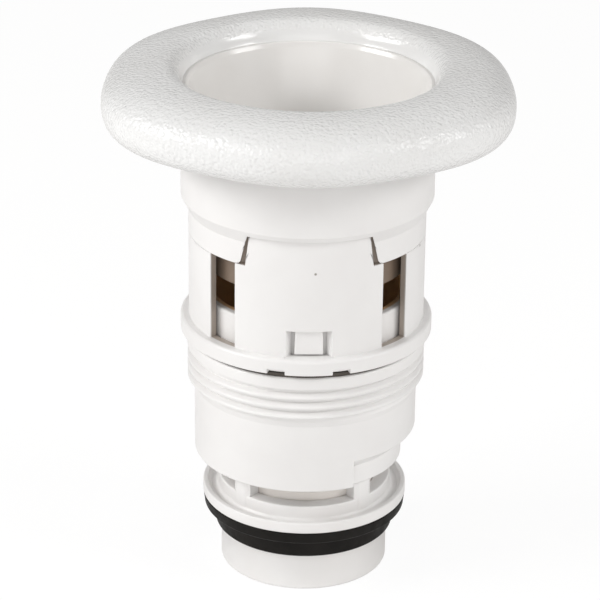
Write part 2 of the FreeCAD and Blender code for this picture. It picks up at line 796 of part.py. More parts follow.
# Seat carrier: cup that hangs in the barrel on its flange and holds the swivel
carrier = new_body("seat_carrier", d.face_turn)
carrier_z = rib_top_z + d.fit
flange_top_z = carrier_z + d.carrier_flange_h
carrier_out_r = rib_r - d.fit
carrier_in_r = carrier_out_r - d.carrier_wall
seat_r = carrier_in_r - d.seat_wide
floor_z = carrier_z - d.carrier_depth
revolve(carrier, "cup", [
    (seat_r, floor_z),
    (carrier_out_r - d.carrier_edge, floor_z),
    (carrier_out_r, floor_z + d.carrier_edge),
    (carrier_out_r, carrier_z),
    (upper_in_r - d.fit, carrier_z),
    (upper_in_r - d.fit, flange_top_z),
    (carrier_in_r, flange_top_z),
    (carrier_in_r, floor_z + d.carrier_floor),
    (seat_r, floor_z + d.carrier_floor),
])
cord_ring("carrier_o_ring", (upper_in_r + carrier_in_r + d.cord_r * 2) / 2, flange_top_z + d.cord_r + d.fit,
          d.cord_r)

# Swivel: low-friction washer, ring with two pin seats, and the ring that holds it down
washer = new_body("swivel_washer")
washer_z = floor_z + d.carrier_floor
revolve(washer, "ring", rectangle(seat_r, washer_z, carrier_in_r - d.slip, washer_z + d.washer_thick))
swivel_z = washer_z + d.washer_thick + d.swivel_play
swivel_top_z = swivel_z + d.swivel_h
ball_z = (swivel_z + swivel_top_z) / 2
swivel_r = carrier_in_r - d.run
swivel = new_body("swivel_ring")
socket = d.ball_r + d.slip
swivel_blank = revolve(swivel, "ring", rectangle(d.ball_r - d.swivel_lip, swivel_z, swivel_r, swivel_top_z))
swivel_cut = doc.addObject("Part::Cut", "swivel_socketed")
socket_ball = doc.addObject("Part::Sphere", "socket_ball")
bind(socket_ball, "Radius", socket)
bind(socket_ball, "Placement.Base.z", ball_z)
pin_hole = doc.addObject("Part::Cylinder", "pin_hole")
pin_hole.Placement = FreeCAD.Placement(V(0, 0, 0), FreeCAD.Rotation(V(0, 1, 0), 90))
bind(pin_hole, "Radius", d.pin_r + d.fit)
bind(pin_hole, "Height", (d.pin_reach + d.pin_play) * 2)
bind(pin_hole, "Placement.Base.x", -(d.pin_reach + d.pin_play))
bind(pin_hole, "Placement.Base.z", ball_z)
swivel_tool = doc.addObject("Part::Fuse", "swivel_tool")
swivel_tool.Base = socket_ball
swivel_tool.Tool = pin_hole
swivel_cut.Base = swivel
swivel_cut.Tool = swivel_tool
swivel.Label = "swivel_blank"
swivel_cut.Label = "swivel_ring"
retainer = new_body("seat_retainer", d.face_turn)
retainer_z = swivel_top_z + d.swivel_play
revolve(retainer, "ring", [
    (carrier_in_r - d.retainer_wide, retainer_z),
    (carrier_in_r - d.fit, retainer_z),
    (carrier_in_r - d.fit, retainer_z + d.retainer_h),
    (carrier_in_r - d.retainer_wide + d.retainer_slope, retainer_z + d.retainer_h),
], angle=Size(345))

# Eyeball: truncated ball with two trunnions and a bore for the tip
ball = doc.addObject("Part::Sphere", "ball_blank")
bind(ball, "Radius", d.ball_r)
ball_slab = doc.addObject("Part::Cylinder", "ball_slab")
bind(ball_slab, "Radius", d.ball_r + 1)
bind(ball_slab, "Height", d.ball_cap * 2)
bind(ball_slab, "Placement.Base.z", -d.ball_cap)
ball_cut = doc.addObject("Part::Common", "ball_cut")
ball_cut.Base = ball
ball_cut.Tool = ball_slab
trunnions = doc.addObject("Part::Cylinder", "trunnions")
trunnions.Placement = FreeCAD.Placement(V(0, 0, 0), FreeCAD.Rotation(V(0, 1, 0), 90))
bind(trunnions, "Radius", d.pin_r)
bind(trunnions, "Height", d.pin_reach * 2)
bind(trunnions, "Placement.Base.x", -d.pin_reach)
ball_pinned = doc.addObject("Part::Fuse", "ball_pinned")
ball_pinned.Base = ball_cut
ball_pinned.Tool = trunnions
ball_bore = doc.addObject("Part::Cylinder", "ball_bore")
bind(ball_bore, "Radius", d.tip_r + d.fit)
bind(ball_bore, "Height", d.ball_r * 2)
bind(ball_bore, "Placement.Base.z", -d.ball_r)
eyeball = doc.addObject("Part::Cut", "eyeball")
eyeball.Base = ball_pinned
eyeball.Tool = ball_bore
eyeball.Label = "eyeball"
bind(eyeball, "Placement.Base.z", ball_z)

# Nozzle tip: flanged sleeve pressed into the ball from above
tip = new_body("nozzle_tip")
tip_low_z = ball_z - d.ball_cap
ball_top_z = ball_z + d.ball_cap
tip_top_z = ball_z + d.tip_reach
revolve(tip, "sleeve", [
    (d.tip_r - d.retainer_slope, tip_low_z),
    (d.tip_r, tip_low_z),
    (d.tip_r, ball_top_z),
    (d.tip_r + d.tip_lip, ball_top_z),
    (d.tip_r + d.tip_lip, ball_top_z + d.tip_lip_h),
    (d.tip_r, tip_top_z - d.tip_edge),
    (d.tip_r - d.tip_edge, tip_top_z),
    (d.tip_bore_r + d.edge, tip_top_z),
    (d.tip_bore_r, tip_top_z - d.edge),
    (d.tip_bore_r, ball_z),
])

# O-rings in the grooves of the cage's collar and of the sleeve's foot
cord_ring("cage_o_ring", plug_r - d.cord_r, groove_z, d.cord_r)
cord_ring("sleeve_o_ring", sleeve_r - d.cord_r, foot_groove_z, d.cord_r)

# Every object is checked before anything is written
nodes = ["tail_cage", "lip_seal", "venturi_tube", "venturi_ring", "threaded_body", "valve_sleeve",
         "axle_bead_ring", "slip_ring", "flow_barrel", "snap_collar", "face_ring", "throat_liner",
         "seat_carrier", "carrier_o_ring", "swivel_washer", "swivel_ring", "seat_retainer", "eyeball",
         "nozzle_tip", "cage_o_ring", "sleeve_o_ring"]
doc.recompute()
for thing in doc.Objects:
    if "Invalid" in thing.State or "Error" in thing.State:
        raise RuntimeError(thing.Label + " failed: " + str(thing.State))
os.makedirs("parts", exist_ok=True)
for node in nodes:
    piece = doc.getObjectsByLabel(node)[0]
    if piece.Shape.isNull() or not piece.Shape.isValid() or not piece.Shape.Solids:
        raise RuntimeError(node + " has no valid solid")
    print(node, len(piece.Shape.Solids), round(piece.Shape.Volume, 1))
for node in nodes:
    doc.getObjectsByLabel(node)[0].Shape.exportStep("parts/" + node + ".step")
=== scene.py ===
import bmesh
import bpy
import math
from mathutils import Matrix, Vector


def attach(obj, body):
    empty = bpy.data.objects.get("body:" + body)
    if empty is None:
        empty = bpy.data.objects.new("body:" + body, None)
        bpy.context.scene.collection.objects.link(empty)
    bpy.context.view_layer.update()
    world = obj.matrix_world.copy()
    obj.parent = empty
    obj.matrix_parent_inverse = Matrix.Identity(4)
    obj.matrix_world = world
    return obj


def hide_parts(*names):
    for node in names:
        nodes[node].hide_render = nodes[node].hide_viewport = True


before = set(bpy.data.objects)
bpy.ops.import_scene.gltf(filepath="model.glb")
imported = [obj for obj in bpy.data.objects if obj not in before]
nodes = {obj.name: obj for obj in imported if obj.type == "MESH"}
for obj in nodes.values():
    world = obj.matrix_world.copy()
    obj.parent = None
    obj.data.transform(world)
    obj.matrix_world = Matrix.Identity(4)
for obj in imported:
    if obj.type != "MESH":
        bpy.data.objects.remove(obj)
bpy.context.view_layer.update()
scene = bpy.context.scene
scene.view_settings.view_transform = "Standard"


# Camera: a long lens a little above the tub jet, straight before its front.
# Its distance, height and roll are those at which the jet's rings lie as in the picture.
CAMERA_LENS = 180.0
CAMERA_SENSOR = 36.0
CAMERA_DISTANCE = 0.9077
CAMERA_LOOK_HEIGHT = 0.08558
CAMERA_ELEVATION = math.radians(23.67)
CAMERA_ROLL = math.radians(0.69)
CAMERA_SHIFT = -6.3 / 600

camera_data = bpy.data.cameras.new("camera")
camera_data.lens = CAMERA_LENS
camera_data.sensor_width = CAMERA_SENSOR
camera_data.shift_x = CAMERA_SHIFT
camera_data.clip_start = 0.05
camera_data.clip_end = 20.0
camera = bpy.data.objects.new("camera", camera_data)
scene.collection.objects.link(camera)
scene.camera = camera
ahead = Vector((0, math.cos(CAMERA_ELEVATION), -math.sin(CAMERA_ELEVATION)))
level_right, level_up = Vector((1, 0, 0)), Vector((1, 0, 0)).cross(ahead)
right = level_right * math.cos(CAMERA_ROLL) + level_up * math.sin(CAMERA_ROLL)
up = level_up * math.cos(CAMERA_ROLL) - level_right * math.sin(CAMERA_ROLL)
turned = Matrix((right, up, -ahead)).transposed().to_4x4()
look_at = Vector((0, 0, CAMERA_LOOK_HEIGHT))
camera.matrix_world = Matrix.Translation(look_at - ahead * CAMERA_DISTANCE) @ turned


# Floor and light: a white table in a light tent. The floor shows white to the camera and keeps a
# faint shadow. Two wide lamps stand at the sides, where the gloss shows them, and one in front.
FLOOR_SIZE = 6.0
FLOOR_WHITE = (0.93, 0.925, 0.92, 1)
FLOOR_SHOWS_WHITE = 0.86
FLOOR_GLOW = 1.04
TENT_COLOUR = (1.0, 0.985, 0.97, 1)
TENT_GLOW = 0.385
LAMPS = {
    "left": {"place": (-1.0, -0.30, 0.72), "wide": 0.70, "high": 0.34, "radiance": 11.3},
    "right": {"place": (0.95, -0.38, 0.70), "wide": 0.50, "high": 0.30, "radiance": 9.6},
    "front": {"place": (0.15, -2.2, 0.60), "wide": 2.0, "high": 1.2, "radiance": 1.55},
}

floor_mesh = bpy.data.meshes.new("floor")
edge = FLOOR_SIZE / 2
floor_corners = [(-edge, -edge, 0), (edge, -edge, 0), (edge, edge, 0), (-edge, edge, 0)]
floor_mesh.from_pydata(floor_corners, [], [(0, 1, 2, 3)])
floor = bpy.data.objects.new("floor", floor_mesh)
scene.collection.objects.link(floor)


def seen_by_camera(tree):
    """A 1 for what the camera sees, 0 for light that only bounces."""
    rays = tree.nodes.new("ShaderNodeLightPath")
    return rays.outputs["Is Camera Ray"]


floor_material = bpy.data.materials.new("table_white")
floor_material.use_nodes = True
tree = floor_material.node_tree
tree.nodes.clear()
matt = tree.nodes.new("ShaderNodeBsdfDiffuse")
matt.inputs["Color"].default_value = FLOOR_WHITE
glow = tree.nodes.new("ShaderNodeEmission")
glow.inputs["Strength"].default_value = FLOOR_GLOW
share = tree.nodes.new("ShaderNodeMath")
share.operation = "MULTIPLY"
share.inputs[1].default_value = FLOOR_SHOWS_WHITE
mix = tree.nodes.new("ShaderNodeMixShader")
result = tree.nodes.new("ShaderNodeOutputMaterial")
tree.links.new(seen_by_camera(tree), share.inputs[0])
tree.links.new(share.outputs[0], mix.inputs[0])
tree.links.new(matt.outputs[0], mix.inputs[1])
tree.links.new(glow.outputs[0], mix.inputs[2])
tree.links.new(mix.outputs[0], result.inputs["Surface"])
floor_mesh.materials.append(floor_material)

world = bpy.data.worlds.new("studio")
scene.world = world
world.use_nodes = True
tree = world.node_tree
tree.nodes.clear()
around = tree.nodes.new("ShaderNodeBackground")
around.inputs["Color"].default_value = TENT_COLOUR
around.inputs["Strength"].default_value = TENT_GLOW
white = tree.nodes.new("ShaderNodeBackground")
white.inputs["Strength"].default_value = 1.0
mix = tree.nodes.new("ShaderNodeMixShader")
result = tree.nodes.new("ShaderNodeOutputWorld")
tree.links.new(seen_by_camera(tree), mix.inputs[0])
tree.links.new(around.outputs[0], mix.inputs[1])
tree.links.new(white.outputs[0], mix.inputs[2])
tree.links.new(mix.outputs[0], result.inputs["Surface"])

for name, lamp in LAMPS.items():
    light = bpy.data.lights.new("lamp_" + name, "AREA")
    light.shape = "RECTANGLE"
    light.size = lamp["wide"]
    light.size_y = lamp["high"]
    light.energy = lamp["radiance"] * math.pi * lamp["wide"] * lamp["high"]
    stand = bpy.data.objects.new("lamp_" + name, light)
    stand.location = lamp["place"]
    stand.rotation_euler = (look_at - stand.location).to_track_quat("-Z", "Y").to_euler()
    scene.collection.objects.link(stand)


# Tail cage: white moulding of spigot, dish flange and sill, with four legs that carry the collar
# which plugs into the body. All its corners are broken by a fraction of a millimetre.
MM = 0.001
LOWER_TURN = -1.7
CAGE_SPIGOT_R = 25.6
CAGE_BORE_R = 20.6
CAGE_STEP_R = 22.0
CAGE_DISH_R = 31.3
CAGE_DISH_LOW = 22.2
CAGE_DISH_TOP = 25.8
CAGE_CHANNEL = 24.3
CAGE_SILL_R = 26.4
CAGE_SILL_TOP = 28.9
CAGE_COLLAR_LOW = 35.0
CAGE_COLLAR_IN_R = 24.2
CAGE_COLLAR_R = 28.9
CAGE_LEG_ANGLE = 15.0
CAGE_LEG_R = 26.6
CAGE_LEG_CHAMFER = 1.5
CAGE_TOP = 46.6


def rounded(corners, segments=5):
    """A closed outline of (radius, height) with arcs in place of the corners, from (radius, height,
    rounding) in millimetres."""
    spots = []
    for index, (radius, height, rounding) in enumerate(corners):
        here = Vector((radius, height))
        back = Vector(corners[index - 1][:2]) - here
        on = Vector(corners[(index + 1) % len(corners)][:2]) - here
        if rounding == 0:
            spots.append(here)
            continue
        half = back.angle(on) / 2
        reach = min(rounding / math.tan(half), back.length * 0.49, on.length * 0.49)
        back.normalize()
        on.normalize()
        centre = here + (back + on).normalized() * (reach / math.cos(half))
        start, end = here + back * reach - centre, here + on * reach - centre
        for step in range(segments + 1):
            share = step / segments
            spoke = start * (1 - share) + end * share
            spots.append(centre + spoke.normalized() * start.length)
    return spots


def around_axis(radius, angle, height):
    """A point from its radius, its angle in degrees from the front towards the right, and its height."""
    turn = math.radians(angle)
    return Vector((radius * math.sin(turn), -radius * math.cos(turn), height)) * MM


def new_piece(name, bm):
    bmesh.ops.recalc_face_normals(bm, faces=bm.faces)
    mesh = bpy.data.meshes.new(name)
    bm.to_mesh(mesh)
    bm.free()
    mesh.shade_smooth()
    piece = bpy.data.objects.new(name, mesh)
    scene.collection.objects.link(piece)
    return piece


def lathe(name, spots, start=0.0, sweep=360.0, steps=256, pitch=0.0):
    """Turns a closed outline about the upright axis, all the way round or as a closed sector. A pitch
    splits its long sides, so that cuts in them leave the shading even."""
    if pitch:
        short = []
        for index, spot in enumerate(spots):
            back = spots[index - 1]
            parts = max(1, round((spot - back).length / pitch))
            short += [back.lerp(spot, part / parts) for part in range(1, parts + 1)]
        spots = short
    bm = bmesh.new()
    whole = sweep == 360.0
    columns = []
    for step in range(steps if whole else steps + 1):
        angle = start + sweep * step / steps
        columns.append([bm.verts.new(around_axis(spot.x, angle, spot.y)) for spot in spots])
    for index in range(len(columns) if whole else len(columns) - 1):
        here, after = columns[index], columns[(index + 1) % len(columns)]
        for row in range(len(spots)):
            on = (row + 1) % len(spots)
            bm.faces.new((here[row], after[row], after[on], here[on]))
    if not whole:
        bm.faces.new(columns[0])
        bm.faces.new(columns[-1])
    return new_piece(name, bm)


def settle(piece):
    """Turns what the modifiers make into the piece's own mesh."""
    graph = bpy.context.evaluated_depsgraph_get()
    made = bpy.data.meshes.new_from_object(piece.evaluated_get(graph))
    old = piece.data
    piece.modifiers.clear()
    piece.data = made
    bpy.data.meshes.remove(old)
    made.name = piece.name
    return piece


def carve(piece, tools, operation="DIFFERENCE"):
    """Cuts the tools out of the piece, or joins them to it, and removes them."""
    for tool in tools:
        cut = piece.modifiers.new("cut", "BOOLEAN")
        cut.operation = operation
        cut.solver = "EXACT"
        cut.object = tool
        settle(piece)
        mesh = tool.data
        bpy.data.objects.remove(tool)
        bpy.data.meshes.remove(mesh)
    return piece


def soften(piece, width, angle=38, segments=2):
    """Breaks the sharp edges that the cuts left, and evens the shading of the walls beside them."""
    piece.data.shade_smooth()
    bevel = piece.modifiers.new("edges", "BEVEL")
    bevel.width = width * MM
    bevel.segments = segments
    bevel.limit_method = "ANGLE"
    bevel.angle_limit = math.radians(angle)
    bevel.use_clamp_overlap = False
    even = piece.modifiers.new("shading", "WEIGHTED_NORMAL")
    even.keep_sharp = False
    even.weight = 60
    return settle(piece)


def turn_piece(piece, angle):
    piece.data.transform(Matrix.Rotation(math.radians(angle), 4, "Z"))
    return piece


def join(name, pieces):
    """One piece with the meshes of several."""
    bm = bmesh.new()
    for piece in pieces:
        bm.from_mesh(piece.data)
        mesh = piece.data
        bpy.data.objects.remove(piece)
        bpy.data.meshes.remove(mesh)
    mesh = bpy.data.meshes.new(name)
    bm.to_mesh(mesh)
    bm.free()
    mesh.shade_smooth()
    piece = bpy.data.objects.new(name, mesh)
    scene.collection.objects.link(piece)
    return piece


def ramp(tree, value, low, high, start=0.0, end=1.0):
    """Maps a value from start and end to low and high, and holds it there."""
    spread = tree.nodes.new("ShaderNodeMapRange")
    spread.inputs["From Min"].default_value = start
    spread.inputs["From Max"].default_value = end
    spread.inputs["To Min"].default_value = low
    spread.inputs["To Max"].default_value = high
    tree.links.new(value, spread.inputs["Value"])
    return spread.outputs["Result"]


def noise(tree, place, scale, detail=3.0):
    pattern = tree.nodes.new("ShaderNodeTexNoise")
    pattern.inputs["Scale"].default_value = scale
    pattern.inputs["Detail"].default_value = detail
    tree.links.new(place, pattern.inputs["Vector"])
    return pattern.outputs["Fac"]


def from_axis(tree, place):
    """The distance from the upright axis, and the point's parts."""
    apart = tree.nodes.new("ShaderNodeSeparateXYZ")
    tree.links.new(place, apart.inputs[0])
    flat = tree.nodes.new("ShaderNodeCombineXYZ")
    for side in "XY":
        tree.links.new(apart.outputs[side], flat.inputs[side])
    reach = tree.nodes.new("ShaderNodeVectorMath")
    reach.operation = "LENGTH"
    tree.links.new(flat.outputs[0], reach.inputs[0])
    return reach.outputs["Value"], apart


def tinted(material, colour, factor):
    """Mixes another colour over a material's own, by a factor from its node tree."""
    tree = material.node_tree
    socket = tree.nodes["Principled BSDF"].inputs["Base Color"]
    over = tree.nodes.new("ShaderNodeMix")
    over.data_type = "RGBA"
    tree.links.new(socket.links[0].from_socket, over.inputs["A"])
    over.inputs["B"].default_value = (*colour, 1)
    tree.links.new(factor, over.inputs["Factor"])
    tree.links.new(over.outputs["Result"], socket)


SPECK_BROWN = (0.16, 0.13, 0.10, 1)
PEEL_DEPTH = 0.0001
PLASTIC_IOR = 1.49


def moulded_plastic(name, colour, shade, gloss, peel, specks=()):
    """White moulded plastic: faint cloudy tint, uneven gloss, a shallow orange peel and dark specks."""
    material = bpy.data.materials.new(name)
    material.use_nodes = True
    tree = material.node_tree
    body = tree.nodes["Principled BSDF"]
    place = tree.nodes.new("ShaderNodeTexCoord").outputs["Object"]
    tint = tree.nodes.new("ShaderNodeMix")
    tint.data_type = "RGBA"
    tint.inputs["A"].default_value = (*colour, 1)
    tint.inputs["B"].default_value = (*shade, 1)
    tree.links.new(ramp(tree, noise(tree, place, 45.0), 0.0, 1.0, 0.35, 0.75), tint.inputs["Factor"])
    surface = tint.outputs["Result"]
    for spot, size in specks:
        away = tree.nodes.new("ShaderNodeVectorMath")
        away.operation = "DISTANCE"
        away.inputs[1].default_value = spot
        tree.links.new(place, away.inputs[0])
        mark = tree.nodes.new("ShaderNodeMix")
        mark.data_type = "RGBA"
        mark.inputs["B"].default_value = SPECK_BROWN
        dark = ramp(tree, away.outputs["Value"], 0.8, 0.0, size * 0.5, size)
        tree.links.new(dark, mark.inputs["Factor"])
        tree.links.new(surface, mark.inputs["A"])
        surface = mark.outputs["Result"]
    tree.links.new(surface, body.inputs["Base Color"])
    sheen = ramp(tree, noise(tree, place, 90.0), gloss - 0.03, gloss + 0.05, 0.3, 0.7)
    tree.links.new(sheen, body.inputs["Roughness"])
    bump = tree.nodes.new("ShaderNodeBump")
    bump.inputs["Strength"].default_value = peel
    bump.inputs["Distance"].default_value = PEEL_DEPTH
    tree.links.new(noise(tree, place, 420.0), bump.inputs["Height"])
    tree.links.new(bump.outputs["Normal"], body.inputs["Normal"])
    body.inputs["IOR"].default_value = PLASTIC_IOR
    return material


def finish_piece(piece, material, body, *stands_for, slot):
    piece.data.materials.clear()
    piece.data.materials.append(material)
    for face in piece.data.polygons:
        face.material_index = 0
    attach(piece, body)
    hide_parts(*stands_for)
    return piece


cage_white = moulded_plastic("cage_white", (0.83, 0.82, 0.81), (0.79, 0.77, 0.755), 0.34, 0.25)
cage_body = lathe("tail_cage_body", rounded([
    (CAGE_BORE_R, 0, 0.4),
    (CAGE_SPIGOT_R, 0, 0.9),
    (CAGE_SPIGOT_R, CAGE_DISH_LOW, 0),
    (CAGE_DISH_R, CAGE_DISH_LOW, 0.5),
    (CAGE_DISH_R, CAGE_DISH_TOP, 0.5),
    (CAGE_DISH_R - 1.6, CAGE_DISH_TOP, 0.5),
    (CAGE_DISH_R - 2.4, CAGE_CHANNEL, 0.7),
    (CAGE_SILL_R + 0.6, CAGE_CHANNEL, 0.7),
    (CAGE_SILL_R, CAGE_CHANNEL + 0.8, 0.5),
    (CAGE_SILL_R, CAGE_SILL_TOP, 0.5),
    (CAGE_STEP_R, CAGE_SILL_TOP, 0.4),
    (CAGE_STEP_R, CAGE_DISH_LOW - 2.2, 0),
    (CAGE_BORE_R, CAGE_DISH_LOW - 2.2, 0.3),
]))
cage_collar = lathe("tail_cage_collar", rounded([
    (CAGE_COLLAR_IN_R, CAGE_COLLAR_LOW, 0.4),
    (CAGE_COLLAR_R, CAGE_COLLAR_LOW, 2.0),
    (CAGE_COLLAR_R, CAGE_TOP, 0.3),
    (CAGE_COLLAR_IN_R, CAGE_TOP, 0.3),
], 8))


def leg_maker():
    """Node tree that stands copies of one leg on a circle about the axis, and gives back one mesh."""
    tree = bpy.data.node_groups.new("legs_round_the_cage", "GeometryNodeTree")
    face = tree.interface
    face.new_socket("Geometry", in_out="INPUT", socket_type="NodeSocketGeometry")
    count = face.new_socket("Count", in_out="INPUT", socket_type="NodeSocketInt")
    count.default_value = 4
    first = face.new_socket("First Angle", in_out="INPUT", socket_type="NodeSocketFloat")
    first.default_value = 45.0
    finish = face.new_socket("Material", in_out="INPUT", socket_type="NodeSocketMaterial")
    face.new_socket("Geometry", in_out="OUTPUT", socket_type="NodeSocketGeometry")
    given = tree.nodes.new("NodeGroupInput")
    places = tree.nodes.new("GeometryNodePoints")
    number = tree.nodes.new("GeometryNodeInputIndex")
    step = tree.nodes.new("ShaderNodeMath")
    step.operation = "DIVIDE"
    step.inputs[0].default_value = math.tau
    turn = tree.nodes.new("ShaderNodeMath")
    turn.operation = "MULTIPLY_ADD"
    start = tree.nodes.new("ShaderNodeMath")
    start.operation = "RADIANS"
    spin = tree.nodes.new("ShaderNodeCombineXYZ")
    copies = tree.nodes.new("GeometryNodeInstanceOnPoints")
    solid = tree.nodes.new("GeometryNodeRealizeInstances")
    dress = tree.nodes.new("GeometryNodeSetMaterial")
    result = tree.nodes.new("NodeGroupOutput")
    link = tree.links.new
    link(given.outputs["Count"], places.inputs["Count"])
    link(given.outputs["Count"], step.inputs[1])
    link(number.outputs[0], turn.inputs[0])
    link(step.outputs[0], turn.inputs[1])
    link(given.outputs["First Angle"], start.inputs[0])
    link(start.outputs[0], turn.inputs[2])
    link(turn.outputs[0], spin.inputs["Z"])
    link(places.outputs[0], copies.inputs["Points"])
    link(given.outputs["Geometry"], copies.inputs["Instance"])
    link(spin.outputs[0], copies.inputs["Rotation"])
    link(copies.outputs[0], solid.inputs[0])
    link(solid.outputs[0], dress.inputs["Geometry"])
    link(given.outputs["Material"], dress.inputs["Material"])
    link(dress.outputs[0], result.inputs[0])
    return tree, {"Count": count, "First Angle": first, "Material": finish}


def copies_round(piece, count, first, material):
    tree, sockets = leg_maker()
    maker = piece.modifiers.new("copies", "NODES")
    maker.node_group = tree
    maker[sockets["Count"].identifier] = count
    maker[sockets["First Angle"].identifier] = first
    maker[sockets["Material"].identifier] = material
    return settle(piece)


def upright_bar(name, spots, low, high):
    """An upright bar from its plan outline of (x, y) points, in millimetres."""
    bm = bmesh.new()
    base = [bm.verts.new(Vector((x, y, low)) * MM) for x, y in spots]
    top = [bm.verts.new(Vector((x, y, high)) * MM) for x, y in spots]
    bm.faces.new(base)
    bm.faces.new(top)
    for index in range(len(spots)):
        after = (index + 1) % len(spots)
        bm.faces.new((base[index], base[after], top[after], top[index]))
    return new_piece(name, bm)


half_leg = math.sin(math.radians(CAGE_LEG_ANGLE / 2))
leg_plan = [
    (-CAGE_STEP_R * half_leg, -CAGE_STEP_R + 0.3),
    (CAGE_STEP_R * half_leg, -CAGE_STEP_R + 0.3),
    (CAGE_LEG_R * half_leg, -CAGE_LEG_R + 0.9),
    (CAGE_LEG_R * half_leg - CAGE_LEG_CHAMFER, -CAGE_LEG_R + 0.1),
    (0, -CAGE_LEG_R),
    (-CAGE_LEG_R * half_leg + CAGE_LEG_CHAMFER, -CAGE_LEG_R + 0.1),
    (-CAGE_LEG_R * half_leg, -CAGE_LEG_R + 0.9),
]
leg = soften(upright_bar("leg", leg_plan, CAGE_CHANNEL - 0.2, CAGE_COLLAR_LOW + 0.8), 0.2, angle=25)
legs = copies_round(leg, 4, 45.0, cage_white)
tail_cage = turn_piece(join("tail_cage_moulding", [cage_body, cage_collar, legs]), LOWER_TURN)
finish_piece(tail_cage, cage_white, "lower", "tail_cage", slot="cage_white")


# Lip seal: black rubber sleeve on the spigot with a wide lip under the dish. It is moulded, so its
# skin is dull and finely matt.
SEAL_LOW = 12.2
SEAL_BODY_R = 27.3
SEAL_LIP_R = 31.2
SEAL_LIP_LOW = 18.6
seal = lathe("lip_seal_rubber", rounded([
    (CAGE_SPIGOT_R + 0.05, SEAL_LOW, 0),
    (SEAL_BODY_R, SEAL_LOW, 0.9),
    (SEAL_BODY_R + 0.2, SEAL_LIP_LOW - 0.3, 0.5),
    (SEAL_LIP_R - 0.4, SEAL_LIP_LOW, 0.6),
    (SEAL_LIP_R, CAGE_DISH_LOW - 0.05, 0.4),
    (CAGE_SPIGOT_R + 0.05, CAGE_DISH_LOW - 0.05, 0),
]))
seal_black = bpy.data.materials.new("seal_black")
seal_black.use_nodes = True
tree = seal_black.node_tree
rubber = tree.nodes["Principled BSDF"]
place = tree.nodes.new("ShaderNodeTexCoord").outputs["Object"]
tint = tree.nodes.new("ShaderNodeMix")
tint.data_type = "RGBA"
tint.inputs["A"].default_value = (0.005, 0.0042, 0.0034, 1)
tint.inputs["B"].default_value = (0.012, 0.010, 0.0085, 1)
tree.links.new(ramp(tree, noise(tree, place, 90.0, 6.0), 0.0, 1.0, 0.4, 0.75), tint.inputs["Factor"])
tree.links.new(tint.outputs["Result"], rubber.inputs["Base Color"])
tree.links.new(ramp(tree, noise(tree, place, 300.0), 0.40, 0.58, 0.3, 0.7), rubber.inputs["Roughness"])
rubber.inputs["Specular IOR Level"].default_value = 0.16
bump = tree.nodes.new("ShaderNodeBump")
bump.inputs["Strength"].default_value = 0.5
bump.inputs["Distance"].default_value = PEEL_DEPTH
tree.links.new(noise(tree, place, 700.0, 5.0), bump.inputs["Height"])
tree.links.new(bump.outputs["Normal"], rubber.inputs["Normal"])
finish_piece(seal, seal_black, "lower", "lip_seal", slot="seal_black")


# Venturi tube: unpolished inner moulding in the spigot. Its flared rim stands just above the sill
# and shows through the cage's windows.
RIM_R = 21.6
RIM_TOP = 31.6
RIM_WALL = 1.6
NECK_R = 20.2
DISC_LOW = 20.0
TUBE_R = 12.1
TUBE_IN_R = 9.4
TUBE_LOW = 4.0
TUBE_TOP = 46.0
inner_white = moulded_plastic("inner_white", (0.88, 0.84, 0.80), (0.82, 0.77, 0.72), 0.42, 0.3)
venturi = lathe("venturi_moulding", rounded([
    (TUBE_IN_R, TUBE_LOW, 0.3),
    (TUBE_R, TUBE_LOW, 0.5),
    (TUBE_R, DISC_LOW, 0.3),
    (CAGE_STEP_R - 0.05, DISC_LOW, 0),
    (CAGE_STEP_R - 0.05, CAGE_DISH_LOW, 0.2),
    (NECK_R, CAGE_DISH_LOW, 0.2),
    (NECK_R, CAGE_DISH_LOW + 3.0, 0.3),
    (RIM_R, CAGE_DISH_LOW + 4.4, 0.3),
    (RIM_R, RIM_TOP, 0.5),
    (RIM_R - RIM_WALL, RIM_TOP, 0.4),
    (RIM_R - RIM_WALL, CAGE_DISH_LOW + 4.4, 0.3),
    (NECK_R - RIM_WALL, CAGE_DISH_LOW + 3.0, 0.3),
    (NECK_R - RIM_WALL, CAGE_DISH_LOW, 0.3),
    (TUBE_R, CAGE_DISH_LOW, 0.3),
    (TUBE_R, TUBE_TOP, 0.5),
    (TUBE_IN_R, TUBE_TOP, 0.5),
]), steps=160)
finish_piece(venturi, inner_white, "lower", "venturi_tube", slot="inner_white")


